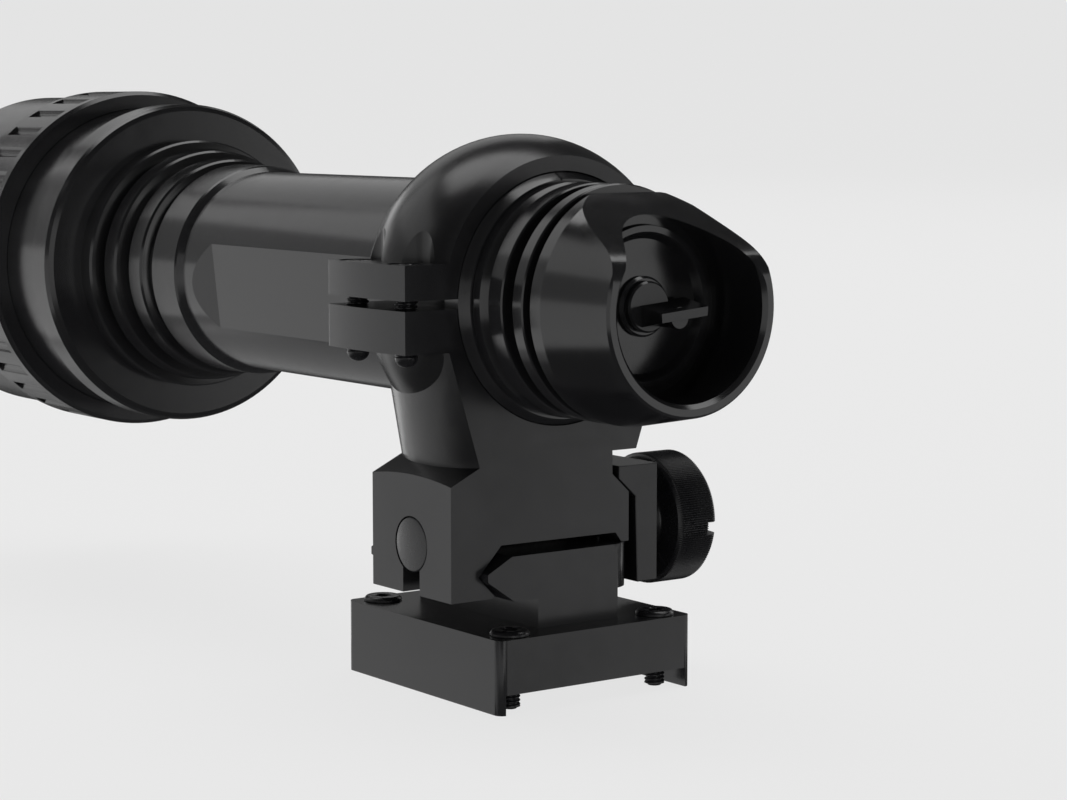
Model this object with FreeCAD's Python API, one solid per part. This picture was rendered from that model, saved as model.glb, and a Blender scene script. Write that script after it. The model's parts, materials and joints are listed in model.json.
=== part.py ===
import FreeCAD, Part
import math
import os

# Laser illuminator in a clamp ring mount.
# Axes: X to the right, Y forward to the lens, Z up. Millimetres.
# The origin is the middle of the seat under the base plate.

V = FreeCAD.Vector

# ---- driving dimensions -------------------------------------------------
tube_radius = 12.70            # one inch body tube
tube_bore = 10.90
axis_x = -1.38                 # tube axis above the mount
axis_z = 42.26
running_fit = 0.05             # radial clearance of a shaft that turns or slides

plate_width = 26.7
plate_length = 30.7
plate_top = 6.04
lip_depth = 2.2                # lips that hang below the seat
lip_thickness = 0.85
plate_corner_radius = 1.0
base_screw_x = 10.12
base_screw_y = 12.7
base_screw_radius = 1.35       # plain shank in the plate
base_screw_head_radius = 2.2
base_stud_radius = 1.15         # free screw ends in the channel

rail_half_length = 11.74
rail_stem_half = 5.55
rail_left = -12.30             # wedge side of the rail
rail_right = 8.16              # wall side of the rail
rail_head_bottom = 9.40
rail_top = 14.40
rail_corner_radius = 3.3
rail_toe_chamfer = 0.90

mount_rear = -10.56            # rear face of clamp body, neck, ring and ears
mount_front = 5.03
mount_mid = (mount_rear + mount_front) / 2
body_left = -16.37
body_right = 8.0
body_bottom = 9.76
neck_base = 24.87

ring_end_radius = 15.75
ring_crown_radius = 18.05
slit_half = 0.54
ear_left = -22.15
ear_top = 46.60
ear_bottom = 37.07
ear_screw_x = -20.05
ear_screw_pitch = 9.6
ear_screw_radius = 1.25
ear_screw_head_radius = 1.95
ear_recess_radius = 3.1         # tool clearance cut into the ring over each screw

bolt_z = 15.28                 # cross bolt through body, rail slot and jaw
bolt_radius = 2.45             # M5
bolt_plug_radius = 3.05
spring_bore = 3.9              # room for the jaw spring round the bolt
jaw_left = 8.97
jaw_right = 12.12
jaw_bottom = 9.50
jaw_top = 23.00
nut_radius = 7.70
nut_inner = 15.75
nut_outer = 21.30
nut_rest_angle = 5             # turn of the coin slot from level
nut_teeth = 90
nut_tooth_depth = 0.22
coin_slot_width = 1.35
coin_slot_depth = 1.35

collar_radius = 13.95
collar_rear = -10.50
collar_bevel_radius = 13.20
collar_bevel_rear = -11.70
tube_rear = -8.0
tube_front = 61.0
panel_depth = 1.15             # label flat on the left side
panel_rear = 8.0
panel_flat_front = 46.4        # from here the flat runs out to the tube wall
panel_front = 50.4
body_turn = -6                 # turn of the flat about the tube axis
cap_radius = 12.90             # tail cap over its ribs
cap_rim_radius = 11.20
cap_rim_y = -33.20
cap_bore = 9.75
cap_floor_y = -24.50
scoop_line = ((-33.20, 2.1), (-33.25, 7.6), (-28.40, 6.5), (-21.00, 12.75))  # y, height over the axis
spigot_radius = 9.95
spigot_bore = 8.40

battery_radius = 9.25          # 18650 cell
battery_rear = -2.5
battery_length = 65.0
flange_y = 73.5
flange_radius = 21.4
housing_radius = 20.80
housing_bore = 17.0
housing_front = 104.0
focus_radius = 23.2
focus_rear = 87.0
focus_front = 99.0
focus_flutes = 36
bezel_radius = 22.4
bezel_front = 116.0
carriage_rear = 86.0
carriage_length = 8.0
lens_radius = 18.0
lens_rear = 104.6
lens_edge = 3.0

os.makedirs("parts", exist_ok=True)


# ---- helpers ------------------------------------------------------------
def save(shape, name):
    if not shape.isValid():
        shape.fix(1e-4, 1e-4, 1e-3)
    shape.exportStep("parts/" + name + ".step")
    solids = len(shape.Solids)
    print("%-18s solids %2d volume %9.1f valid %s" % (name, solids, shape.Volume, shape.isValid()))


def box(x0, x1, y0, y1, z0, z1):
    return Part.makeBox(x1 - x0, y1 - y0, z1 - z0, V(x0, y0, z0))


def prism_y(points, y0, y1):
    """Solid from an outline of (x, z) points, drawn out along Y."""
    wire = Part.makePolygon([V(x, y0, z) for x, z in points] + [V(points[0][0], y0, points[0][1])])
    return Part.Face(wire).extrude(V(0, y1 - y0, 0))


def lathe(outline):
    """Solid turned about the tube axis from an outline of (y, radius) points."""
    points = [V(axis_x, y, axis_z + r) for y, r in outline]
    face = Part.Face(Part.makePolygon(points + [points[0]]))
    return face.revolve(V(axis_x, 0, axis_z), V(0, 1, 0), 360)


def tube_ring(y0, y1, outer, inner):
    return lathe([(y0, inner), (y0, outer), (y1, outer), (y1, inner)])


def rod_x(x0, x1, radius, y=mount_mid, z=bolt_z):
    return Part.makeCylinder(radius, x1 - x0, V(x0, y, z), V(1, 0, 0))


def rod_y(y0, y1, radius, x=axis_x, z=axis_z):
    return Part.makeCylinder(radius, y1 - y0, V(x, y0, z), V(0, 1, 0))


def rod_z(x, y, z0, z1, radius):
    return Part.makeCylinder(radius, z1 - z0, V(x, y, z0), V(0, 0, 1))


def hex_z(x, y, z0, z1, across_flats):
    corner = across_flats / math.sqrt(3)
    angles = [math.radians(60 * i) for i in range(7)]
    wire = Part.makePolygon([V(x + corner * math.cos(a), y + corner * math.sin(a), z0) for a in angles])
    return Part.Face(wire).extrude(V(0, 0, z1 - z0))


def fuse_all(shapes):
    result = shapes[0]
    for shape in shapes[1:]:
        result = result.fuse(shape)
    return result.removeSplitter()


def edges_where(shape, test):
    return [edge for edge in shape.Edges if test(edge)]


def vertical_at(x, y):
    def test(edge):
        if len(edge.Vertexes) != 2:
            return False
        first, last = [vertex.Point for vertex in edge.Vertexes]
        return all(abs(p.x - x) < 0.01 and abs(p.y - y) < 0.01 for p in (first, last))
    return test


# ---- base plate with its rail -------------------------------------------
def make_base_plate():
    half_w = plate_width / 2
    half_l = plate_length / 2
    plate = box(-half_w, half_w, -half_l, half_l, -lip_depth, plate_top)
    inner = half_w - lip_thickness
    plate = plate.cut(box(-inner, inner, -half_l - 1, half_l + 1, -lip_depth - 1, 0))
    corners = [(sx * half_w, sy * half_l) for sx in (-1, 1) for sy in (-1, 1)]
    edges = []
    for x, y in corners:
        edges += edges_where(plate, vertical_at(x, y))
    plate = plate.makeFillet(plate_corner_radius, edges)
    stem = box(-rail_stem_half, rail_stem_half, -rail_half_length, rail_half_length,
               plate_top - 0.5, rail_top - 1)
    head = prism_y([(rail_left, 11.85), (rail_left, 12.70), (-9.05, rail_top), (rail_right, rail_top),
                    (rail_right, rail_head_bottom + rail_toe_chamfer),
                    (rail_right - rail_toe_chamfer, rail_head_bottom), (-8.80, rail_head_bottom)],
                   -rail_half_length, rail_half_length)
    edge_x = rail_right - rail_corner_radius
    edge_y = rail_half_length - rail_corner_radius
    for side in (-1, 1):
        corner = box(edge_x, rail_right + 1, min(side * edge_y, side * (rail_half_length + 1)),
                     max(side * edge_y, side * (rail_half_length + 1)), plate_top, rail_top + 1)
        head = head.cut(corner.cut(rod_z(edge_x, side * edge_y, plate_top, rail_top + 1,
                                         rail_corner_radius)))
    plate = fuse_all([plate, stem, head])
    slot_half = bolt_radius + 0.25
    plate = plate.cut(box(rail_left - 1, rail_right + 1, mount_mid - slot_half, mount_mid + slot_half,
                          rail_top - 3.0, rail_top + 1))
    plate = plate.cut(rod_x(body_right - 2.0, rail_right + 1, spring_bore))
    for x in (-base_screw_x, base_screw_x):
        for y in (-base_screw_y, base_screw_y):
            plate = plate.cut(rod_z(x, y, -1, plate_top + 1, base_screw_radius))
    return plate


def make_base_screws():
    """Four low head screws through the plate, with their ends in the channel."""
    screws = []
    rim = 0.28
    tall = 0.6
    for x in (-base_screw_x, base_screw_x):
        for y in (-base_screw_y, base_screw_y):
            head = rod_z(x, y, plate_top, plate_top + tall - rim, base_screw_head_radius)
            bevel = Part.makeCone(base_screw_head_radius, base_screw_head_radius - rim, rim,
                                  V(x, y, plate_top + tall - rim))
            shank = rod_z(x, y, 0, plate_top + 0.1, base_screw_radius)
            stud = rod_z(x, y, -1.8, 0.2, base_stud_radius)
            point = Part.makeCone(0.9, base_stud_radius, 0.3, V(x, y, -2.1))
            screw = fuse_all([head, bevel, shank, stud, point])
            screws.append(screw.cut(hex_z(x, y, plate_top - 0.5, plate_top + 2, 1.5)))
    return Part.makeCompound(screws)


# ---- clamp body, neck, split ring and ears in one piece -----------------
def arc_left_wire(z, near, middle, far, right):
    """Flat outline at height z: a bowed left side, straight elsewhere."""
    a = V(near, mount_rear, z)
    m = V(middle, -3.0, z)
    b = V(far, mount_front, z)
    c = V(right, mount_front, z)
    d = V(right, mount_rear, z)
    bow = Part.Arc(a, m, b).toShape()
    sides = [Part.LineSegment(p, q).toShape() for p, q in ((b, c), (c, d), (d, a))]
    return Part.Wire([bow] + sides)


def make_mount_body():
    block = prism_y([(body_left, body_bottom), (-10.90, body_bottom), (-10.66, 10.05), (-12.75, 12.28),
                     (-9.72, 15.55), (6.14, 15.50), (6.95, rail_top), (body_right, rail_top),
                     (body_right, 20.02), (5.66, 22.20), (5.66, 26.0), (body_left, 26.0)],
                    mount_rear, mount_front)
    shoulder = Part.makeCone(51.5, 18.4, 16.6, V(7.9, mount_mid, 9.44))
    block = block.common(shoulder)
    neck = Part.makeLoft([arc_left_wire(20.0, -11.2, -13.6, -11.6, 13.0),
                          arc_left_wire(38.0, -16.8, -17.6, -15.0, 13.0)], True, True)
    neck_sides = prism_y([(-20, 20), (5.66, 20), (5.66, neck_base), (9.05, neck_base), (9.83, 27.11),
                          (11.90, 33.80), (11.90, 38), (-20, 38)], mount_rear - 1, mount_front + 1)
    neck = neck.common(neck_sides)
    crown = [V(axis_x, mount_rear, axis_z + ring_end_radius), V(axis_x, mount_mid, axis_z + ring_crown_radius),
             V(axis_x, mount_front, axis_z + ring_end_radius)]
    foot = [V(axis_x, mount_front, axis_z), V(axis_x, mount_rear, axis_z)]
    profile = Part.Wire([Part.Arc(*crown).toShape(), Part.LineSegment(crown[2], foot[0]).toShape(),
                         Part.LineSegment(foot[0], foot[1]).toShape(),
                         Part.LineSegment(foot[1], crown[0]).toShape()])
    ring = Part.Face(profile).revolve(V(axis_x, 0, axis_z), V(0, 1, 0), 360)
    ear_bow = 0.45
    a = V(ear_left, mount_rear, ear_bottom)
    m = V(ear_left - ear_bow, mount_mid, ear_bottom)
    b = V(ear_left, mount_front, ear_bottom)
    c = V(axis_x, mount_front, ear_bottom)
    d = V(axis_x, mount_rear, ear_bottom)
    ear_wire = Part.Wire([Part.Arc(a, m, b).toShape()]
                         + [Part.LineSegment(p, q).toShape() for p, q in ((b, c), (c, d), (d, a))])
    ears = Part.Face(ear_wire).extrude(V(0, 0, ear_top - ear_bottom))
    ears = ears.makeFillet(0.6, edges_where(ears, vertical_at(ear_left, mount_front)))
    solid = fuse_all([block, neck, ring, ears])
    solid = solid.cut(rod_y(mount_rear - 1, mount_front + 1, tube_radius))
    solid = solid.cut(rod_y(mount_rear - 1, tube_rear, collar_radius + 0.12))
    solid = solid.cut(box(ear_left - 2, axis_x, mount_rear - 1, mount_front + 1,
                          axis_z - slit_half, axis_z + slit_half))
    for side in (-0.5, 0.5):
        y = mount_mid + side * ear_screw_pitch
        solid = solid.cut(rod_z(ear_screw_x, y, ear_bottom - 1, ear_top + 1, ear_screw_radius))
        solid = solid.cut(rod_z(ear_screw_x, y, ear_top - 2.0, ear_top + 1, ear_screw_head_radius + 0.1))
        solid = solid.cut(rod_z(ear_screw_x, y, ear_top, ear_top + 14, ear_recess_radius))
    solid = solid.cut(rod_x(body_left - 1, body_right + 1, bolt_radius))
    solid = solid.cut(rod_x(body_left - 1, body_left + 2.9, bolt_plug_radius))
    solid = solid.cut(rod_x(body_right - 2.0, body_right + 1, spring_bore))
    solid = solid.cut(rod_x(body_left - 1, body_left + 0.6, bolt_plug_radius + 0.12))
    slot_half = 1.65
    solid = solid.cut(box(body_left - 1, -10.5, mount_mid - slot_half, mount_mid + slot_half,
                          body_bottom - 1, bolt_z - bolt_plug_radius + 0.1))
    solid = solid.cut(box(body_left - 1, body_left + 2.9, mount_mid - slot_half, mount_mid + slot_half,
                          body_bottom - 1, bolt_z - bolt_plug_radius + 0.6))
    return solid


def make_ear_screws():
    screws = []
    for side in (-0.5, 0.5):
        y = mount_mid + side * ear_screw_pitch
        head = rod_z(ear_screw_x, y, ear_top - 2.0, ear_top - 0.1, ear_screw_head_radius)
        head = head.cut(hex_z(ear_screw_x, y, ear_top - 1.2, ear_top + 1, 2.0))
        shank = rod_z(ear_screw_x, y, ear_bottom - 1.1, ear_top - 1.9, ear_screw_radius)
        end_radius = 1.9
        end = Part.makeSphere(end_radius, V(ear_screw_x, y, ear_bottom - 1.6 + end_radius))
        end = end.common(rod_z(ear_screw_x, y, ear_bottom - 2, ear_bottom - 1.05, ear_screw_radius))
        screws.append(fuse_all([head, shank, end]))
    return Part.makeCompound(screws)


# ---- rail clamp ---------------------------------------------------------
def make_cross_bolt():
    plug = rod_x(body_left, body_left + 2.9, bolt_plug_radius)
    shank = rod_x(body_left + 2.8, nut_outer - 1.6, bolt_radius)
    return fuse_all([plug, shank])


def make_clamp_jaw():
    toe_y = mount_rear + 2.5
    plate = prism_y([(9.26, jaw_bottom), (jaw_left, 19.35), (6.62, 21.53), (6.62, jaw_top),
                     (jaw_right, jaw_top), (jaw_right, jaw_bottom)], mount_rear, mount_front)
    toe = prism_y([(9.60, jaw_bottom), (7.52, jaw_bottom), (8.32, 10.30), (8.32, 10.90), (9.60, 11.90)],
                  toe_y, mount_front)
    jaw = fuse_all([plate, toe])
    jaw = jaw.cut(rod_x(0, jaw_right + 1, bolt_radius + running_fit))
    return jaw.cut(rod_x(0, 10.6, spring_bore))


def helix_spring(radius, wire, length, turns, start, direction):
    helix = Part.makeHelix(length / turns, length, radius)
    section = Part.Wire([Part.makeCircle(wire / 2, V(radius, 0, 0), V(0, 1, 0))])
    coil = Part.Wire(helix.Edges).makePipeShell([section], True, True)
    coil.Placement = FreeCAD.Placement(start, FreeCAD.Rotation(V(0, 0, 1), direction))
    return coil


def make_jaw_spring():
    wire = 0.5
    x0 = body_right - 2.0 + wire / 2
    length = 10.6 - wire / 2 - x0
    return helix_spring(3.2, wire, length, 3.0, V(x0, mount_mid, bolt_z), V(1, 0, 0))


def make_nut_washer():
    return rod_x(jaw_right, jaw_right + 0.8, 4.6).cut(rod_x(jaw_right - 1, jaw_right + 2,
                                                            bolt_radius + running_fit))


def make_thumb_nut():
    points = []
    for i in range(2 * nut_teeth + 1):
        angle = math.pi * i / nut_teeth
        radius = nut_radius - (nut_tooth_depth if i % 2 else 0)
        points.append(V(nut_inner, mount_mid + radius * math.cos(angle), bolt_z + radius * math.sin(angle)))
    wheel = Part.Face(Part.makePolygon(points)).extrude(V(nut_outer - nut_inner, 0, 0))
    edge = 0.35
    tall = nut_outer - nut_inner
    inner_cone = Part.makeCone(nut_radius - edge, nut_radius - edge + tall, tall,
                               V(nut_inner, mount_mid, bolt_z), V(1, 0, 0))
    outer_cone = Part.makeCone(nut_radius - edge, nut_radius - edge + tall, tall,
                               V(nut_outer, mount_mid, bolt_z), V(-1, 0, 0))
    wheel = wheel.common(inner_cone).common(outer_cone)
    hub = rod_x(jaw_right + 0.8, nut_inner + 0.2, 4.1)
    nut = fuse_all([wheel, hub]).cut(rod_x(jaw_right, nut_outer - 1.4, bolt_radius + running_fit))
    slot = box(nut_outer - coin_slot_depth, nut_outer + 1, mount_mid - nut_radius - 1,
               mount_mid + nut_radius + 1, bolt_z - coin_slot_width / 2, bolt_z + coin_slot_width / 2)
    slot.rotate(V(0, mount_mid, bolt_z), V(1, 0, 0), nut_rest_angle)
    return nut.cut(slot)


# ---- body tube and tail -------------------------------------------------
def make_main_tube():
    tube = tube_ring(tube_rear, tube_front, tube_radius, tube_bore)
    flat_x = axis_x - tube_radius + panel_depth
    out_x = axis_x - tube_radius - 1
    low = axis_z - 8
    corners = [V(out_x, panel_rear, low), V(flat_x, panel_rear, low), V(flat_x, panel_flat_front, low),
               V(axis_x - tube_radius, panel_front, low), V(out_x, panel_front, low)]
    panel = Part.Face(Part.makePolygon(corners + [corners[0]])).extrude(V(0, 0, 16))
    panel.rotate(V(axis_x, 0, axis_z), V(0, 1, 0), body_turn)
    return tube.cut(panel)


def make_index_collar():
    bore = spigot_radius + running_fit
    collar = lathe([(collar_bevel_rear, bore), (collar_bevel_rear, collar_bevel_radius),
                    (collar_rear, collar_radius), (tube_rear, collar_radius),
                    (tube_rear, tube_bore), (-4.0, tube_bore), (-4.0, bore)])
    sunk = 0.15
    across = collar_radius + 1
    mark = Part.makePolygon([V(axis_x - 0.11, collar_rear + 0.05, axis_z + collar_radius - sunk),
                             V(axis_x - 0.11, collar_bevel_rear - 0.3,
                               axis_z + collar_bevel_radius - sunk - 0.19),
                             V(axis_x - 0.11, collar_bevel_rear - 0.3, axis_z + across),
                             V(axis_x - 0.11, collar_rear + 0.05, axis_z + across),
                             V(axis_x - 0.11, collar_rear + 0.05, axis_z + collar_radius - sunk)])
    mark = Part.Face(mark).extrude(V(0.22, 0, 0))
    mark.rotate(V(axis_x, 0, axis_z), V(0, 1, 0), -4.4)
    return collar.cut(mark)


def scoop_solid():
    """Finger cut-out: an S-shaped side line drawn across the cup."""
    bend = Part.BezierCurve()
    bend.setPoles([V(-20, y, axis_z + z) for y, z in scoop_line])
    low_y, low_z = scoop_line[0]
    high_y, high_z = scoop_line[-1]
    start = V(-20, low_y, axis_z + low_z)
    end = V(-20, high_y, axis_z + high_z)
    top = V(-20, high_y, axis_z + 20)
    out = V(-20, cap_rim_y - 5, axis_z + 20)
    down = V(-20, cap_rim_y - 5, axis_z + low_z)
    lines = [Part.LineSegment(p, q).toShape()
             for p, q in ((end, top), (top, out), (out, down), (down, start))]
    return Part.Face(Part.Wire([bend.toShape()] + lines)).extrude(V(40, 0, 0))


def make_tail_cap():
    """Ribbed cap: spigot in the tube, three grip ribs and a cup round the switch knob."""
    gap = 0.12
    front = collar_bevel_rear - gap
    groove_radius = 11.3
    outline = [(-3.0, spigot_bore), (-3.0, spigot_radius), (front, spigot_radius), (front, 12.95),
               (-13.1, 12.95), (-14.1, 12.20), (-14.45, 12.20),
               (-14.5, cap_radius - 0.15), (-14.65, cap_radius), (-16.85, cap_radius),
               (-17.0, cap_radius - 0.15), (-17.1, groove_radius), (-18.8, groove_radius),
               (-18.9, cap_radius - 0.15), (-19.05, cap_radius), (-20.55, cap_radius),
               (-20.7, cap_radius - 0.15), (-20.8, groove_radius), (-21.9, groove_radius),
               (-22.0, cap_radius - 0.15), (-22.15, cap_radius), (-23.9, cap_radius),
               (cap_rim_y + 0.3, cap_rim_radius + 0.03), (cap_rim_y, cap_rim_radius - 0.25),
               (cap_rim_y, cap_bore + 0.45), (cap_rim_y + 0.45, cap_bore), (cap_floor_y, cap_bore),
               (cap_floor_y, 8.75), (cap_floor_y - 0.75, 8.60), (cap_floor_y - 0.75, 7.95),
               (cap_floor_y, 7.20), (cap_floor_y, 2.40), (cap_floor_y + 2.0, 2.40),
               (cap_floor_y + 2.0, spigot_bore)]
    cap = lathe(outline)
    cap = cap.cut(scoop_solid())
    groove = tube_ring(-6.4, -5.0, spigot_radius + 1, spigot_radius - 0.90)
    return cap.cut(groove)


def make_tail_o_ring():
    major = spigot_radius - 0.03
    section = 0.42
    ring = Part.makeTorus(major - section, section, V(axis_x, -5.7, axis_z), V(0, 1, 0))
    return ring


def make_dial_bushing():
    return lathe([(cap_floor_y - 0.6, 1.50 + running_fit), (cap_floor_y - 0.6, 3.0),
                  (cap_floor_y - 0.35, 3.25), (cap_floor_y, 3.25), (cap_floor_y, 2.40),
                  (cap_floor_y + 2.0, 2.40), (cap_floor_y + 2.0, 1.50 + running_fit)])


def make_mode_knob():
    """Pointer knob: hub, wing that points to +X, and the shaft into the switch."""
    back = cap_floor_y - 0.75
    hub = lathe([(back, 0), (back, 2.75), (-25.7, 2.75), (-25.9, 2.55), (-25.9, 0)])
    shaft = rod_y(back - 0.5, cap_floor_y + 6.0, 1.50)
    wing_top = -29.4
    reach = 5.1
    root = 1.25
    crest = 0.48
    wing_drop = 0.85
    z = axis_z - wing_drop
    outline = [V(axis_x - 1.2, back - 0.15, z - root), V(axis_x - 1.2, back - 0.15, z + root),
               V(axis_x - 1.2, wing_top, z + crest), V(axis_x - 1.2, wing_top, z - crest)]
    wing = Part.Face(Part.makePolygon(outline + [outline[0]])).extrude(V(reach + 1.2, 0, 0))
    wing = wing.common(rod_y(wing_top - 1, back, reach))
    boss = rod_y(wing_top + 1.0, back - 0.1, 1.15, axis_x + 2.0, z - 0.4)
    knob = fuse_all([hub, shaft, wing, boss])
    knob.rotate(V(axis_x, 0, axis_z), V(0, 1, 0), -5)
    return knob


def make_switch_body():
    body = lathe([(cap_floor_y + 2.0, 1.50 + running_fit), (cap_floor_y + 2.0, 8.2), (-14.6, 8.2),
                  (-14.6, 0), (-18.0, 0), (-18.0, 1.50 + running_fit)])
    pins = [rod_y(-14.7, -13.2, 0.45, axis_x + 6.2 * math.cos(a), axis_z + 6.2 * math.sin(a))
            for a in (0.6, 2.5, 4.2)]
    return fuse_all([body] + pins)


def make_tail_spring():
    return helix_spring(4.0, 0.8, battery_rear + 14.6 - 1.0, 5, V(axis_x, -14.1, axis_z), V(0, 1, 0))


# ---- power and light source inside the tube -----------------------------
def make_battery_cell():
    nub = 1.2
    front = battery_rear + battery_length
    return lathe([(battery_rear, 0), (battery_rear, battery_radius - 0.4),
                  (battery_rear + 0.4, battery_radius), (front - nub - 0.5, battery_radius),
                  (front - nub, battery_radius - 0.5), (front - nub, 2.9), (front, 2.9), (front, 0)])


def make_battery_sleeve():
    return tube_ring(-1.5, 60.0, tube_bore - 0.10, battery_radius + 0.30)


def make_contact_button():
    front = battery_rear + battery_length
    return lathe([(front, 0), (front, 2.4), (front + 1.5, 2.4), (front + 1.5, 4.2), (front + 2.0, 4.2),
                  (front + 2.0, 0)])


def make_driver_board():
    rear = battery_rear + battery_length + 2.0
    disc = rod_y(rear, rear + 1.2, 10.5)
    chips = [(-4.6, 3.4, 3.6, 3.0, 1.4), (3.2, 3.8, 2.6, 2.6, 1.1), (-2.2, -5.4, 4.4, 2.2, 1.5),
             (4.6, -3.6, 1.8, 1.2, 0.9), (-6.6, -1.6, 1.4, 1.0, 0.8)]
    blocks = [disc]
    for x, z, width, height, tall in chips:
        blocks.append(box(axis_x + x - width / 2, axis_x + x + width / 2, rear + 1.1, rear + 1.2 + tall,
                          axis_z + z - height / 2, axis_z + z + height / 2))
    return fuse_all(blocks)


def make_heat_sink():
    return lathe([(68.0, 1.6), (68.0, 10.4), (69.0, tube_bore), (80.0, tube_bore), (80.0, 2.85),
                  (78.8, 2.85), (78.8, 1.6)])


def make_laser_diode():
    can = lathe([(78.8, 0), (78.8, 2.8), (80.0, 2.8), (80.0, 1.8), (82.4, 1.8), (82.4, 0)])
    board_front = battery_rear + battery_length + 3.2
    pins = [rod_y(board_front, 79.0, 0.23, axis_x + math.cos(a), axis_z + math.sin(a))
            for a in (math.radians(90), math.radians(210), math.radians(330))]
    return fuse_all([can] + pins)


# ---- head ---------------------------------------------------------------
def make_stepped_neck():
    """Stepped cooling collar between the tube and the head."""
    outline = [(52.6, tube_radius), (53.4, 13.30), (53.7, 13.45), (59.3, 13.60), (59.6, 13.35),
               (59.9, 12.95), (61.1, 12.95), (61.4, 13.90), (61.7, 14.15), (64.3, 14.30),
               (64.6, 14.00), (64.9, 13.40), (66.1, 13.40), (66.4, 15.00), (66.7, 15.25),
               (68.9, 15.45), (69.2, 15.15), (69.5, 14.30), (70.5, 14.30), (70.8, 16.30),
               (71.1, 16.55), (flange_y, 16.55), (flange_y, 15.0),
               (flange_y + 3.0, 15.0), (flange_y + 3.0, tube_bore), (tube_front, tube_bore),
               (tube_front, tube_radius)]
    return lathe(outline)


def make_head_housing():
    round_edge = 0.9
    housing = lathe([(flange_y, 15.0), (flange_y, flange_radius - round_edge),
                     (flange_y + 0.3, flange_radius - 0.3), (flange_y + round_edge, flange_radius),
                     (78.2, flange_radius), (79.1, housing_radius), (housing_front, housing_radius),
                     (housing_front, housing_bore), (flange_y + 3.0, housing_bore),
                     (flange_y + 3.0, 15.0)])
    slot_y0 = carriage_rear + 2.6
    slot_y1 = slot_y0 + 2.8 + 4.2
    for angle in (90, 210, 330):
        cut = box(axis_x + 15, axis_x + 24, slot_y0, slot_y1, axis_z - 1.4, axis_z + 1.4)
        cut.rotate(V(axis_x, 0, axis_z), V(0, 1, 0), angle)
        housing = housing.cut(cut)
    return housing


def make_focus_ring():
    bore = housing_radius + running_fit
    relief = housing_radius + 1.15
    edge = 0.5
    ring = lathe([(focus_rear, bore), (focus_rear, focus_radius - edge), (focus_rear + edge, focus_radius),
                  (focus_front - edge, focus_radius), (focus_front, focus_radius - edge),
                  (focus_front, bore), (focus_front - 1.6, bore), (focus_front - 1.6, relief),
                  (focus_rear + 1.4, relief), (focus_rear + 1.4, bore)])
    for i in range(focus_flutes):
        angle = 2 * math.pi * i / focus_flutes
        reach = focus_radius + 0.55
        flute = rod_y(focus_rear + 1.8, focus_front - 1.8, 1.05, axis_x + reach * math.cos(angle),
                      axis_z + reach * math.sin(angle))
        ring = ring.cut(flute)
    return ring


def make_lens_carriage():
    outer = housing_bore - running_fit
    front = carriage_rear + carriage_length
    carriage = lathe([(carriage_rear, 9.0), (carriage_rear, outer), (front, outer), (front, 10.6),
                      (carriage_rear + 3.0, 10.6), (carriage_rear + 3.0, 9.0)])
    return carriage


def make_carriage_pins():
    """Three pins that pass the housing slots and carry the carriage along."""
    y = carriage_rear + 4.0
    inner = housing_bore - running_fit - 2.2
    pins = []
    for angle in (90, 210, 330):
        pin = Part.makeCylinder(1.2, 21.7 - inner, V(axis_x + inner, y, axis_z), V(1, 0, 0))
        pin.rotate(V(axis_x, 0, axis_z), V(0, 1, 0), angle)
        pins.append(pin)
    return pins


def convex_lens(rear, edge, radius, bulge):
    """Plano-convex lens with its curved side to the front."""
    p0 = V(axis_x, rear, axis_z)
    p1 = V(axis_x, rear, axis_z + radius)
    p2 = V(axis_x, rear + edge, axis_z + radius)
    p4 = V(axis_x, rear + edge + bulge, axis_z)
    sphere = (radius ** 2 + bulge ** 2) / (2 * bulge)
    half = radius / 2
    p3 = V(axis_x, rear + edge + bulge - sphere + math.sqrt(sphere ** 2 - half ** 2), axis_z + half)
    wire = Part.Wire([Part.LineSegment(p0, p1).toShape(), Part.LineSegment(p1, p2).toShape(),
                      Part.Arc(p2, p3, p4).toShape(), Part.LineSegment(p4, p0).toShape()])
    return Part.Face(wire).revolve(V(axis_x, 0, axis_z), V(0, 1, 0), 360)


def make_carriage_nut():
    rear = carriage_rear + 5.8
    return tube_ring(rear, rear + 1.4, 10.6, 9.6)


def make_lens_seal():
    return tube_ring(housing_front, lens_rear, lens_radius, housing_bore - 0.4)


def make_front_bezel():
    """Front ring: holds the lens and flares out round it."""
    edge = 0.8
    lip = lens_rear + lens_edge
    return lathe([(focus_front + 0.3, housing_radius), (focus_front + 0.3, bezel_radius - 0.4),
                  (focus_front + 0.7, bezel_radius), (bezel_front - edge, bezel_radius),
                  (bezel_front, bezel_radius - edge), (bezel_front, 20.6), (lip + 1.4, 17.0),
                  (lip + 0.45, 17.0), (lip + 0.05, lens_radius), (housing_front, lens_radius),
                  (housing_front, housing_radius)])


# ---- write one file per sub-part ----------------------------------------
save(make_base_plate(), "base_plate")
save(make_base_screws(), "base_screws")
mount_body = make_mount_body()
save(mount_body, "mount_body")
save(make_ear_screws(), "ring_screws")
save(make_cross_bolt(), "cross_bolt")
save(make_clamp_jaw(), "clamp_jaw")
save(make_jaw_spring(), "jaw_spring")
save(make_nut_washer(), "nut_washer")
save(make_thumb_nut(), "thumb_nut")
save(make_main_tube(), "main_tube")
save(make_index_collar(), "index_collar")
save(make_tail_cap(), "tail_cap")
save(make_tail_o_ring(), "tail_o_ring")
save(make_dial_bushing(), "dial_bushing")
save(make_mode_knob(), "mode_knob")
save(make_switch_body(), "switch_body")
save(make_tail_spring(), "tail_spring")
save(make_battery_cell(), "battery_cell")
save(make_battery_sleeve(), "battery_sleeve")
save(make_contact_button(), "contact_button")
save(make_driver_board(), "driver_board")
save(make_heat_sink(), "heat_sink")
save(make_laser_diode(), "laser_diode")
save(make_stepped_neck(), "stepped_neck")
save(make_head_housing(), "head_housing")
save(make_focus_ring(), "focus_ring")
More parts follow.
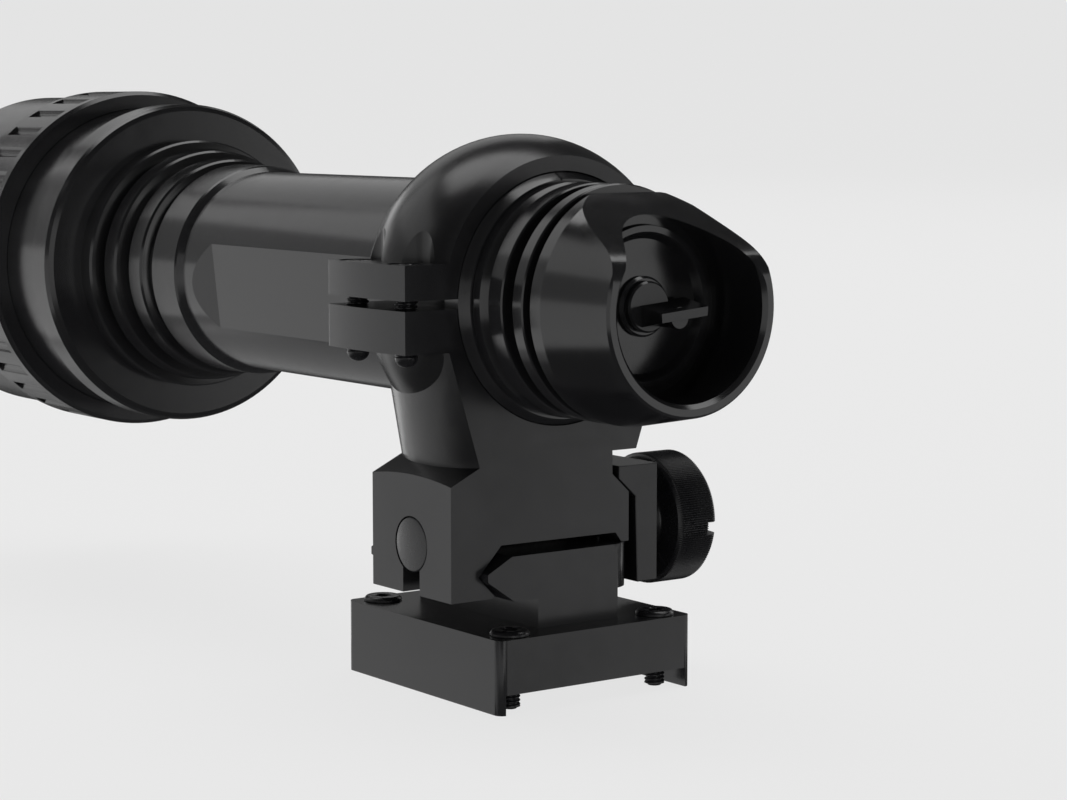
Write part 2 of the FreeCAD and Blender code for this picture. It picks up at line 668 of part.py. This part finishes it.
pins = make_carriage_pins()
carriage = make_lens_carriage()
for pin in pins:
    carriage = carriage.cut(pin)
save(carriage, "lens_carriage")
save(Part.makeCompound(pins), "carriage_pins")
save(convex_lens(carriage_rear + 3.0, 2.4, 10.5, 2.2), "collimator_lens")
save(make_carriage_nut(), "carriage_nut")
save(make_lens_seal(), "lens_seal")
save(convex_lens(lens_rear, lens_edge, lens_radius - 0.05, 3.6), "front_lens")
save(make_front_bezel(), "front_bezel")
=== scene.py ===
"""Laser illuminator in a clamp ring mount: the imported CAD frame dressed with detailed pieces."""

import json
import math

import bmesh
import bpy
from mathutils import Matrix, Vector


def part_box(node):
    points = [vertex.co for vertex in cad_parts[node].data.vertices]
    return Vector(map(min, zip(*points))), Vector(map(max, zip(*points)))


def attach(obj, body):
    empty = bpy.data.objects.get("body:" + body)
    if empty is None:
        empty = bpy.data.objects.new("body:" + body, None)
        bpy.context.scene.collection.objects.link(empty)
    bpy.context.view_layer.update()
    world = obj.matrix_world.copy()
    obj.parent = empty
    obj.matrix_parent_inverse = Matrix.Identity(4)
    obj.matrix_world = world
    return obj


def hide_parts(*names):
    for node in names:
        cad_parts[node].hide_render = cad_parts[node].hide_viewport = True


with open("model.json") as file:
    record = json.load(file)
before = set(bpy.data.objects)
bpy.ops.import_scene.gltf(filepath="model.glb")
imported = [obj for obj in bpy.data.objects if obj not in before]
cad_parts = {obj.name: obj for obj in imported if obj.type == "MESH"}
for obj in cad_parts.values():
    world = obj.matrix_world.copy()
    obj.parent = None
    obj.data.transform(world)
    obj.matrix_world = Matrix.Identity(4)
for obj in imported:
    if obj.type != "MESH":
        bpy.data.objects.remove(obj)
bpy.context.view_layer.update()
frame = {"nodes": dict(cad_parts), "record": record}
MM = 0.001
scene = bpy.context.scene
scene.view_settings.view_transform = "Standard"
scene.view_settings.look = "None"


def node_box(node):
    """A node's lowest and highest corners in millimetres."""
    low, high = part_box(node)
    return Vector(low) / MM, Vector(high) / MM


# Driving dimensions, millimetres, read from the frame.
NUT_LOW, NUT_HIGH = node_box("thumb_nut")
BOLT_Y = (NUT_LOW.y + NUT_HIGH.y) / 2
BOLT_Z = (NUT_LOW.z + NUT_HIGH.z) / 2
NUT_REST_ANGLE = 5    # degrees, turn of the coin slot from level

# ---- camera, floor and light ------------------------------------------------
CAMERA_AT = (-0.17528, -0.24312, 0.06313)
CAMERA_AZIMUTH = math.radians(-36.156)
CAMERA_PITCH = math.radians(-6.307)
CAMERA_LENS = 89.09
CAMERA_SENSOR = 36.0
FLOOR_GREY = 0.10
FLOOR_GLOW = 0.75
WORLD_GLOW = 0.55
WORLD_GLOW_REFLECTED = 0.05
LIGHT_CENTRE = Vector((0, 0, 0.03))
AHEAD = Vector((-math.sin(CAMERA_AZIMUTH), math.cos(CAMERA_AZIMUTH), 0))
ASIDE = Vector((AHEAD.y, -AHEAD.x, 0))


def add_camera():
    data = bpy.data.cameras.new("camera")
    data.lens = CAMERA_LENS
    data.sensor_width = CAMERA_SENSOR
    data.clip_start = 0.01
    data.clip_end = 50.0
    camera = bpy.data.objects.new("camera", data)
    camera.location = CAMERA_AT
    line = AHEAD * math.cos(CAMERA_PITCH) + Vector((0, 0, math.sin(CAMERA_PITCH)))
    camera.rotation_euler = line.to_track_quat("-Z", "Y").to_euler()
    scene.collection.objects.link(camera)
    scene.camera = camera


def add_shader(tree, kind, links=None, **values):
    """Add a node; values set its sockets or its own settings, links join sockets."""
    node = tree.nodes.new(kind)
    for key, value in values.items():
        name = key.replace("_", " ")
        socket = next((s for s in node.inputs if s.name.lower() == name.lower()), None)
        if socket is None:
            setattr(node, key, value)
        else:
            socket.default_value = value
    for name, source in (links or {}).items():
        tree.links.new(source, node.inputs[name])
    return node


def add_floor():
    """A plain pale sweep that rises far behind the object; no reflection or shadow ray meets it."""
    floor_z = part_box("base_plate")[0].z
    across = 6.0
    near_end = -4.0
    bend = 2.0
    flat_end = 2.4
    wall_top = 6.0
    steps = 24
    outline = [(near_end, 0.0), (flat_end, 0.0)]
    for i in range(1, steps + 1):
        turn = math.radians(90 * i / steps)
        outline.append((flat_end + bend * math.sin(turn), bend * (1 - math.cos(turn))))
    outline.append((flat_end + bend, wall_top))
    vertices = []
    for far, up in outline:
        for side in (-across, across):
            vertices.append(AHEAD * far + ASIDE * side + Vector((0, 0, floor_z + up)))
    faces = [(2 * i, 2 * i + 1, 2 * i + 3, 2 * i + 2) for i in range(len(outline) - 1)]
    mesh = bpy.data.meshes.new("floor")
    mesh.from_pydata(vertices, [], faces)
    mesh.polygons.foreach_set("use_smooth", [True] * len(mesh.polygons))
    floor = bpy.data.objects.new("floor", mesh)
    scene.collection.objects.link(floor)
    material = bpy.data.materials.new("floor_paper")
    material.use_nodes = True
    tree = material.node_tree
    pale = tree.nodes["Principled BSDF"]
    pale.inputs["Base Color"].default_value = (FLOOR_GREY, FLOOR_GREY, FLOOR_GREY, 1)
    pale.inputs["Roughness"].default_value = 0.95
    pale.inputs["Specular IOR Level"].default_value = 0.0
    glow = add_shader(tree, "ShaderNodeEmission", Color=(1, 1, 1, 1), Strength=FLOOR_GLOW)
    lit = add_shader(tree, "ShaderNodeAddShader")
    tree.links.new(pale.outputs[0], lit.inputs[0])
    tree.links.new(glow.outputs[0], lit.inputs[1])
    tree.links.new(lit.outputs[0], tree.nodes["Material Output"].inputs["Surface"])
    floor.data.materials.append(material)
    floor.visible_glossy = False
    floor.visible_shadow = False


def add_softbox(name, azimuth, elevation, distance, width, height, glow):
    """A rectangular light; azimuth is turned from straight ahead of the camera to the left."""
    turn = math.radians(azimuth)
    lift = math.radians(elevation)
    flat = AHEAD * math.cos(turn) - ASIDE * math.sin(turn)
    place = (flat * math.cos(lift) + Vector((0, 0, math.sin(lift)))) * distance
    data = bpy.data.lights.new(name, "AREA")
    data.shape = "RECTANGLE"
    data.size = width
    data.size_y = height
    data.energy = glow * math.pi * width * height
    light = bpy.data.objects.new(name, data)
    light.location = place + LIGHT_CENTRE
    light.rotation_euler = (-place).to_track_quat("-Z", "Y").to_euler()
    light.visible_camera = False
    scene.collection.objects.link(light)


def add_world():
    world = bpy.data.worlds.new("studio")
    scene.world = world
    world.use_nodes = True
    tree = world.node_tree
    pale = tree.nodes["Background"]
    pale.inputs["Strength"].default_value = WORLD_GLOW
    dark = add_shader(tree, "ShaderNodeBackground", Color=(1, 1, 1, 1),
                      Strength=WORLD_GLOW_REFLECTED)
    ray = add_shader(tree, "ShaderNodeLightPath")
    mix = add_shader(tree, "ShaderNodeMixShader", {"Fac": ray.outputs["Is Glossy Ray"]})
    tree.links.new(pale.outputs[0], mix.inputs[1])
    tree.links.new(dark.outputs[0], mix.inputs[2])
    tree.links.new(mix.outputs[0], tree.nodes["World Output"].inputs["Surface"])


# Name, azimuth, elevation, distance, width, height, glow.
SOFTBOXES = (
    ("panel_left", 88, -12, 1.6, 3.4, 0.92, 0.50),
    ("panel_left_fill", 70, -2, 1.9, 3.4, 2.1, 0.26),
    ("panel_left_high", 70, 36, 1.7, 1.7, 0.62, 0.75),
    ("panel_low", 28, -28, 1.6, 1.0, 0.5, 0.30),
    ("panel_ahead", 14, 25, 2.2, 1.5, 0.9, 0.50),
    ("panel_front", 36, 2, 1.7, 0.9, 0.9, 1.30),
    ("panel_far_right", -48, 8, 1.7, 0.95, 1.3, 1.00),
    ("panel_back_right", -146, 5, 1.8, 1.0, 1.3, 0.80),
    ("panel_right", -95, -4, 1.7, 1.14, 1.1, 0.80),
    ("panel_behind", 172, 0, 1.9, 2.8, 1.1, 0.60),
    ("softbox_top", -10, 76, 1.6, 2.2, 0.9, 2.2),
)

add_camera()
add_floor()
add_world()
for softbox in SOFTBOXES:
    add_softbox(*softbox)


# ---- materials ---------------------------------------------------------------
def start_material(name):
    material = bpy.data.materials.new(name)
    material.use_nodes = True
    tree = material.node_tree
    place = add_shader(tree, "ShaderNodeTexCoord")
    return material, tree, tree.nodes["Principled BSDF"], place.outputs["Object"]


def noise(tree, place, scale, detail=3.0, rough=0.55):
    return add_shader(tree, "ShaderNodeTexNoise", {"Vector": place}, Scale=scale, Detail=detail,
                      Roughness=rough).outputs["Fac"]


def spread(tree, source, low, high, start=0.3, end=0.7):
    """Map a 0 to 1 texture onto a span of values."""
    return add_shader(tree, "ShaderNodeMapRange", {"Value": source}, From_Min=start, From_Max=end,
                      To_Min=low, To_Max=high).outputs["Result"]


def tint(tree, source, dark, light, start=0.35, end=0.65):
    ramp = add_shader(tree, "ShaderNodeValToRGB", {"Fac": source})
    ramp.color_ramp.elements[0].position = start
    ramp.color_ramp.elements[0].color = (*dark, 1)
    ramp.color_ramp.elements[1].position = end
    ramp.color_ramp.elements[1].color = (*light, 1)
    return ramp.outputs["Color"]


def bump(tree, source, height, strength=1.0, before=None):
    node = add_shader(tree, "ShaderNodeBump", {"Height": source}, Distance=height, Strength=strength)
    if before is not None:
        tree.links.new(before, node.inputs["Normal"])
    return node.outputs["Normal"]


def ring_lines(tree, place, pitch_mm, axis="Y"):
    """Fine tool marks that run round an axis."""
    wave = add_shader(tree, "ShaderNodeTexWave", {"Vector": place}, Scale=1 / (pitch_mm * MM * 20) * 6.2832,
                      Distortion=0.6, Detail=2.0, Detail_Scale=3.0)
    wave.wave_type = "BANDS"
    wave.bands_direction = axis
    return wave.outputs["Fac"]


def painted_edge_highlight(tree):
    """1 on sharp outer edges, 0 elsewhere; the mask of a painted edge highlight, lighter colour standing in
    for light caught on rounded edges.
    """
    shape = add_shader(tree, "ShaderNodeNewGeometry")
    return spread(tree, shape.outputs["Pointiness"], 0.0, 1.0, 0.52, 0.60)


def blend_colour(tree, share, first, second):
    mix = add_shader(tree, "ShaderNodeMix", data_type="RGBA")
    tree.links.new(share, mix.inputs[0])
    tree.links.new(first, mix.inputs[6])
    mix.inputs[7].default_value = (*second, 1)
    return mix.outputs[2]


def make_anodised(name, dark, light, smooth, rough, ior, turned_pitch=None):
    """Satin black anodising; roughness runs from smooth to rough, with tool marks if turned, and a painted
    edge highlight that lightens sharp edges.
    """
    material, tree, shader, place = start_material(name)
    cloud = noise(tree, place, 60.0, 4.0)
    colour = tint(tree, cloud, dark, light)
    # painted edge highlight: sharp edges are mixed towards a lighter black, standing in for light caught on
    # the edges
    colour = blend_colour(tree, spread(tree, painted_edge_highlight(tree), 0.0, 0.30, 0.0, 1.0), colour,
                          (0.030, 0.030, 0.032))
    tree.links.new(colour, shader.inputs["Base Color"])
    grain = noise(tree, place, 7000.0, 2.0)
    tree.links.new(spread(tree, noise(tree, place, 420.0, 3.0), smooth, rough), shader.inputs["Roughness"])
    normal = bump(tree, grain, 0.004 * MM, 0.25)
    if turned_pitch:
        normal = bump(tree, ring_lines(tree, place, turned_pitch), 0.0016 * MM, 0.5, normal)
    tree.links.new(normal, shader.inputs["Normal"])
    shader.inputs["IOR"].default_value = ior
    return material


def make_steel(name, dark, light, smooth, rough, metallic):
    """Steel, or gilt brass, with fine scratches and a painted edge highlight on sharp edges; metallic 0 is a
    black oxide skin.
    """
    scratch = 900.0
    material, tree, shader, place = start_material(name)
    cloud = noise(tree, place, 300.0, 4.0)
    colour = tint(tree, cloud, dark, light)
    # painted edge highlight: sharp edges are mixed towards a brighter copy of the light tone
    colour = blend_colour(tree, spread(tree, painted_edge_highlight(tree), 0.0, 0.5, 0.0, 1.0), colour,
                          tuple(min(1.0, 2.2 * c) for c in light))
    tree.links.new(colour, shader.inputs["Base Color"])
    shader.inputs["Metallic"].default_value = metallic
    tree.links.new(spread(tree, noise(tree, place, scratch, 5.0, 0.7), smooth, rough),
                   shader.inputs["Roughness"])
    tree.links.new(bump(tree, noise(tree, place, 5200.0, 3.0), 0.004 * MM, 0.5), shader.inputs["Normal"])
    return material


def make_bare_aluminium():
    material, tree, shader, place = start_material("turned_aluminium")
    tree.links.new(tint(tree, noise(tree, place, 260.0), (0.58, 0.58, 0.59), (0.72, 0.72, 0.73)),
                   shader.inputs["Base Color"])
    shader.inputs["Metallic"].default_value = 1.0
    lines = ring_lines(tree, place, 0.15)
    tree.links.new(spread(tree, lines, 0.24, 0.38, 0.0, 1.0), shader.inputs["Roughness"])
    tree.links.new(bump(tree, lines, 0.003 * MM), shader.inputs["Normal"])
    return material


def make_rubber():
    material, tree, shader, place = start_material("nitrile_rubber")
    tree.links.new(tint(tree, noise(tree, place, 500.0), (0.010, 0.010, 0.010), (0.020, 0.020, 0.021)),
                   shader.inputs["Base Color"])
    tree.links.new(spread(tree, noise(tree, place, 1500.0), 0.55, 0.75), shader.inputs["Roughness"])
    tree.links.new(bump(tree, noise(tree, place, 3500.0), 0.01 * MM), shader.inputs["Normal"])
    return material


def make_plastic():
    material, tree, shader, place = start_material("moulded_plastic")
    tree.links.new(tint(tree, noise(tree, place, 200.0), (0.030, 0.030, 0.032), (0.045, 0.045, 0.047)),
                   shader.inputs["Base Color"])
    tree.links.new(spread(tree, noise(tree, place, 900.0), 0.42, 0.55), shader.inputs["Roughness"])
    cells = add_shader(tree, "ShaderNodeTexVoronoi", {"Vector": place}, Scale=2600.0).outputs["Distance"]
    tree.links.new(bump(tree, cells, 0.006 * MM), shader.inputs["Normal"])
    return material


def make_battery_wrap():
    """Shrink film with a lighter band at its front end."""
    material, tree, shader, place = start_material("shrink_film")
    split = add_shader(tree, "ShaderNodeSeparateXYZ", {"Vector": place})
    band = spread(tree, split.outputs["Y"], 0.0, 1.0, 0.0555, 0.0557)
    film = tint(tree, noise(tree, place, 90.0), (0.020, 0.10, 0.26), (0.026, 0.13, 0.32))
    tree.links.new(blend_colour(tree, band, film, (0.62, 0.62, 0.60)), shader.inputs["Base Color"])
    tree.links.new(spread(tree, noise(tree, place, 700.0), 0.22, 0.34), shader.inputs["Roughness"])
    tree.links.new(bump(tree, noise(tree, place, 350.0, 5.0), 0.02 * MM), shader.inputs["Normal"])
    return material


def make_board():
    """Green solder mask with brighter tracks under it."""
    material, tree, shader, place = start_material("solder_mask")
    bricks = add_shader(tree, "ShaderNodeTexBrick", {"Vector": place}, Scale=420.0, Mortar_Size=0.03)
    mask = tint(tree, noise(tree, place, 220.0), (0.006, 0.060, 0.020), (0.010, 0.085, 0.030))
    tree.links.new(blend_colour(tree, bricks.outputs["Fac"], mask, (0.030, 0.20, 0.07)),
                   shader.inputs["Base Color"])
    tree.links.new(spread(tree, noise(tree, place, 800.0), 0.25, 0.40), shader.inputs["Roughness"])
    tree.links.new(bump(tree, bricks.outputs["Fac"], 0.02 * MM), shader.inputs["Normal"])
    return material


def make_glass():
    """Optical glass with a faint red and violet infrared coating."""
    material, tree, shader, place = start_material("coated_glass")
    facing = add_shader(tree, "ShaderNodeLayerWeight", Blend=0.35).outputs["Facing"]
    colour = tint(tree, facing, (0.34, 0.06, 0.10), (0.62, 0.30, 0.62), 0.15, 0.85)
    tree.links.new(colour, shader.inputs["Base Color"])
    tree.links.new(spread(tree, noise(tree, place, 900.0), 0.02, 0.05), shader.inputs["Roughness"])
    shader.inputs["Transmission Weight"].default_value = 0.82
    shader.inputs["IOR"].default_value = 1.52
    shader.inputs["Coat Weight"].default_value = 0.6
    shader.inputs["Coat Roughness"].default_value = 0.02
    tree.links.new(bump(tree, noise(tree, place, 1200.0), 0.0004 * MM), shader.inputs["Normal"])
    return material


BLACK = (0.0055, 0.0055, 0.0060)
SOFT_BLACK = (0.0072, 0.0072, 0.0078)
SLOT_MATERIALS = {
    "anodised_mount": make_anodised("anodised_blasted", BLACK, SOFT_BLACK, smooth=0.23, rough=0.27, ior=1.5),
    "anodised_body": make_anodised("anodised_turned", BLACK, SOFT_BLACK, smooth=0.15, rough=0.19, ior=1.62,
                                   turned_pitch=0.12),
    "knob_metal": make_anodised("anodised_knob", BLACK, SOFT_BLACK, smooth=0.17, rough=0.21, ior=1.5),
    "black_steel": make_steel("black_oxide", (0.006, 0.006, 0.007), (0.010, 0.010, 0.011), smooth=0.24,
                              rough=0.32, metallic=0.0),
    "spring_steel": make_steel("spring_steel", (0.42, 0.42, 0.43), (0.55, 0.55, 0.56), smooth=0.20,
                               rough=0.34, metallic=1.0),
    "seal_rubber": make_rubber(),
    "inner_plastic": make_plastic(),
    "battery_wrap": make_battery_wrap(),
    "contact_brass": make_steel("gilt_brass", (0.62, 0.44, 0.17), (0.76, 0.56, 0.25), smooth=0.16,
                                rough=0.30, metallic=1.0),
    "board": make_board(),
    "bare_aluminium": make_bare_aluminium(),
    "lens_glass": make_glass(),
}
for sub in frame["record"]["subparts"]:
    node = frame["nodes"][sub["node"]]
    node.data.materials.clear()
    node.data.materials.append(SLOT_MATERIALS[sub["material_slot"]])


# ---- turned pieces -------------------------------------------------------------
def along_x(y, z):
    return lambda turn, radius, height: (height, y + radius * math.cos(turn), z + radius * math.sin(turn))


def along_z(x, y):
    return lambda turn, radius, height: (x + radius * math.cos(turn), y + radius * math.sin(turn), height)


def turned_mesh(name, rings, place, steps, smooth_angle=32):
    """A closed skin over rings of (radius, height); a radius may be a function of the turn."""
    work = bmesh.new()
    rows = []
    for radius, height in rings:
        if radius == 0:
            rows.append([work.verts.new(Vector(place(0.0, 0.0, height)) * MM)])
            continue
        row = []
        for i in range(steps):
            turn = 2 * math.pi * i / steps
            size = radius(turn) if callable(radius) else radius
            row.append(work.verts.new(Vector(place(turn, size, height)) * MM))
        rows.append(row)
    if len(rows[0]) > 1:
        rows.append(rows[0])
    for first, second in zip(rows, rows[1:]):
        for i in range(steps):
            j = (i + 1) % steps
            if len(first) == 1 and len(second) == 1:
                break
            if len(first) == 1:
                work.faces.new((first[0], second[j], second[i]))
            elif len(second) == 1:
                work.faces.new((first[i], first[j], second[0]))
            else:
                work.faces.new((first[i], first[j], second[j], second[i]))
    bmesh.ops.recalc_face_normals(work, faces=work.faces)
    mesh = bpy.data.meshes.new(name)
    work.to_mesh(mesh)
    work.free()
    mesh.polygons.foreach_set("use_smooth", [True] * len(mesh.polygons))
    mesh.set_sharp_from_angle(angle=math.radians(smooth_angle))
    return mesh


def new_piece(name, meshes, body, slot, replaced=()):
    """Join meshes into one piece that rides on a body."""
    work = bmesh.new()
    for mesh in meshes:
        work.from_mesh(mesh)
    joined = bpy.data.meshes.new(name)
    work.to_mesh(joined)
    work.free()
    joined.materials.append(SLOT_MATERIALS[slot])
    piece = bpy.data.objects.new(name, joined)
    scene.collection.objects.link(piece)
    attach(piece, body)
    if replaced:
        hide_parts(*replaced)
    return piece


def hexagon(across_flats):
    """Radius of a hexagon at each turn."""
    def radius(turn):
        corner = math.radians(60)
        return across_flats / 2 / math.cos((turn + corner / 2) % corner - corner / 2)
    return radius


def thread_rings(low, high, pitch, core, crest):
    """Rings of a right-hand 60 degree thread that fades out at both ends."""
    rows = 8
    count = max(2, round((high - low) / pitch * rows))
    rings = []
    for k in range(count + 1):
        height = low + (high - low) * k / count
        fade = min(1.0, (height - low) / pitch, (high - height) / pitch)

        def radius(turn, height=height, fade=fade):
            phase = (height / pitch - turn / (2 * math.pi)) % 1.0
            flank = 1 - abs(2 * phase - 1)
            tooth = min(1.0, max(0.0, (flank - 0.12) / 0.70))
            return core + (crest - core) * (1 - fade + fade * tooth)
        rings.append((radius, height))
    return rings


def socket_rings(face, across_flats, depth):
    """A hexagon socket sunk from a flat face, with its drilled cone."""
    half = across_flats / 2
    key = hexagon(across_flats)
    lead = 0.08
    return [(half * 1.22, face), (key, face - lead), (key, face - depth), (half * 0.86, face - depth - 0.02),
            (0, face - depth - half * 0.45)]


def make_base_screws():
    """Four low-head socket screws whose threaded ends stand in the channel."""
    low, high = node_box("base_screws")
    head = 2.2
    tall = 0.6
    rim = 0.28
    core, crest = 0.93, 1.15
    plain = 1.35
    seat = high.z - tall
    meshes = []
    for x in (low.x + head, high.x - head):
        for y in (low.y + head, high.y - head):
            rings = [(0, low.z), (0.72, low.z), (core, low.z + 0.22)]
            rings += thread_rings(low.z + 0.25, -0.02, 0.45, core, crest)
            rings += [(plain, 0.0), (plain, seat), (head - 0.06, seat), (head, seat + 0.06),
                      (head, high.z - rim - 0.05), (head - 0.05, high.z - rim + 0.02),
                      (head - rim + 0.02, high.z - 0.03), (head - rim - 0.05, high.z)]
            rings += socket_rings(high.z, 1.5, 0.95)
            meshes.append(turned_mesh("screw", rings, along_z(x, y), 48))
    new_piece("base_screws_detailed", meshes, "mount", "black_steel", ["base_screws"])


def make_ring_screws():
    """Two socket cap screws that close the ring, with knurled heads and domed ends."""
    low, high = node_box("ring_screws")
    head = (high.x - low.x) / 2
    head_tall = 1.9
    x = (low.x + high.x) / 2
    teeth = 36

    def knurl(turn):
        return head - 0.09 * (0.5 + 0.5 * math.cos(teeth * turn))
    core, crest = 1.02, 1.25
    meshes = []
    for y in (low.y + head, high.y - head):
        rings = [(0, low.z), (0.35, low.z + 0.04), (0.7, low.z + 0.16), (1.0, low.z + 0.40),
                 (1.17, low.z + 0.70), (crest, low.z + 1.05)]
        rings += thread_rings(low.z + 1.1, high.z - head_tall - 0.1, 0.45, core, crest)
        rings += [(crest, high.z - head_tall), (head - 0.1, high.z - head_tall),
                  (head - 0.1, high.z - head_tall + 0.05), (knurl, high.z - head_tall + 0.15),
                  (knurl, high.z - 0.25), (head - 0.12, high.z - 0.14), (head - 0.3, high.z)]
        rings += socket_rings(high.z, 2.0, 1.1)
        meshes.append(turned_mesh("screw", rings, along_z(x, y), 144))
    new_piece("ring_screws_detailed", meshes, "mount", "black_steel", ["ring_screws"])


def make_cross_bolt():
    """Cross bolt: a flush plug at the left and a threaded end inside the nut."""
    low, high = node_box("cross_bolt")
    plug = (high.z - low.z) / 2
    shank = 2.45
    plug_long = 2.9
    thread_start = 12.4
    rings = [(0, low.x), (plug - 0.22, low.x), (plug - 0.08, low.x + 0.05), (plug, low.x + 0.16),
             (plug, low.x + plug_long - 0.1), (plug - 0.1, low.x + plug_long), (shank, low.x + plug_long)]
    core = 2.05
    rings += [(shank, thread_start - 0.02)]
    rings += thread_rings(thread_start, high.x - 0.35, 0.8, core, shank)
    rings += [(core, high.x - 0.15), (1.7, high.x), (0, high.x)]
    mesh = turned_mesh("bolt", rings, along_x(BOLT_Y, BOLT_Z), 96)
    new_piece("cross_bolt_detailed", [mesh], "mount", "black_steel", ["cross_bolt"])


def cut_mesh(mesh, cutters):
    """Take closed cutter meshes away from a closed mesh."""
    base = bpy.data.objects.new("base", mesh)
    scene.collection.objects.link(base)
    made = [base]
    for cutter_mesh in cutters:
        cutter = bpy.data.objects.new("cutter", cutter_mesh)
        scene.collection.objects.link(cutter)
        made.append(cutter)
        cut = base.modifiers.new("cut", "BOOLEAN")
        cut.operation = "DIFFERENCE"
        cut.solver = "EXACT"
        cut.object = cutter
    view = bpy.context.evaluated_depsgraph_get()
    result = bpy.data.meshes.new_from_object(base.evaluated_get(view))
    for extra in made:
        bpy.data.objects.remove(extra)
    return result


def block_mesh(low, high):
    work = bmesh.new()
    bmesh.ops.create_cube(work, size=1.0)
    for vertex in work.verts:
        for i in range(3):
            vertex.co[i] = (low[i] + (high[i] - low[i]) * (vertex.co[i] + 0.5)) * MM
    mesh = bpy.data.meshes.new("block")
    work.to_mesh(mesh)
    work.free()
    return mesh


def make_thumb_nut():
    """Clamp nut with a fine straight knurl and a coin slot across its face."""
    outer = (NUT_HIGH.y - NUT_LOW.y) / 2
    wheel_start = 15.75
    hub = 4.1
    bore = 2.5
    teeth = 180
    depth = 0.20
    edge = 0.38

    def knurl(turn):
        return outer - depth * (0.5 + 0.5 * math.cos(teeth * turn))
    root = outer - depth
    face = NUT_HIGH.x
    rings = [(bore, NUT_LOW.x), (hub - 0.15, NUT_LOW.x), (hub, NUT_LOW.x + 0.15), (hub, wheel_start - 0.25),
             (hub + 0.08, wheel_start - 0.08), (hub + 0.25, wheel_start),
             (root - edge, wheel_start), (root - edge + 0.1, wheel_start + 0.03),
             (root - 0.05, wheel_start + edge),
             (knurl, wheel_start + edge + 0.12), (knurl, face - edge - 0.12), (root - 0.05, face - edge),
             (root - edge + 0.1, face - 0.04), (root - edge - 0.05, face), (2.9, face),
             (0, face - 0.01), (0, face - 1.4), (bore, face - 1.4)]
    mesh = turned_mesh("nut", rings, along_x(BOLT_Y, BOLT_Z), teeth * 6, 40)
    slot_half = 1.35 / 2
    slot_deep = 1.35
    slot = block_mesh((face - slot_deep, BOLT_Y - outer - 1, BOLT_Z - slot_half),
                      (face + 1, BOLT_Y + outer + 1, BOLT_Z + slot_half))
    centre = Vector((0, BOLT_Y, BOLT_Z)) * MM
    turn = Matrix.Rotation(math.radians(NUT_REST_ANGLE), 4, "X")
    slot.transform(Matrix.Translation(centre) @ turn @ Matrix.Translation(-centre))
    new_piece("thumb_nut_detailed", [cut_mesh(mesh, [slot])], "nut", "black_steel", ["thumb_nut"])


make_base_screws()
make_ring_screws()
make_cross_bolt()
make_thumb_nut()


# ---- softened edges of the flat-sided nodes -------------------------------------
def soften(node, width):
    """Round a milled node's edges a little, as deburring leaves them; width in millimetres."""
    segments = 2
    angle = 28
    piece = frame["nodes"][node]
    weld = piece.modifiers.new("weld", "WELD")
    weld.merge_threshold = 0.002 * MM
    bevel = piece.modifiers.new("bevel", "BEVEL")
    bevel.width = width * MM
    bevel.segments = segments
    bevel.limit_method = "ANGLE"
    bevel.angle_limit = math.radians(angle)
    bevel.use_clamp_overlap = True
    bevel.harden_normals = True


SOFT_EDGES = {"base_plate": 0.14, "clamp_jaw": 0.15, "nut_washer": 0.08}
for soft_node, soft_width in SOFT_EDGES.items():
    soften(soft_node, soft_width)
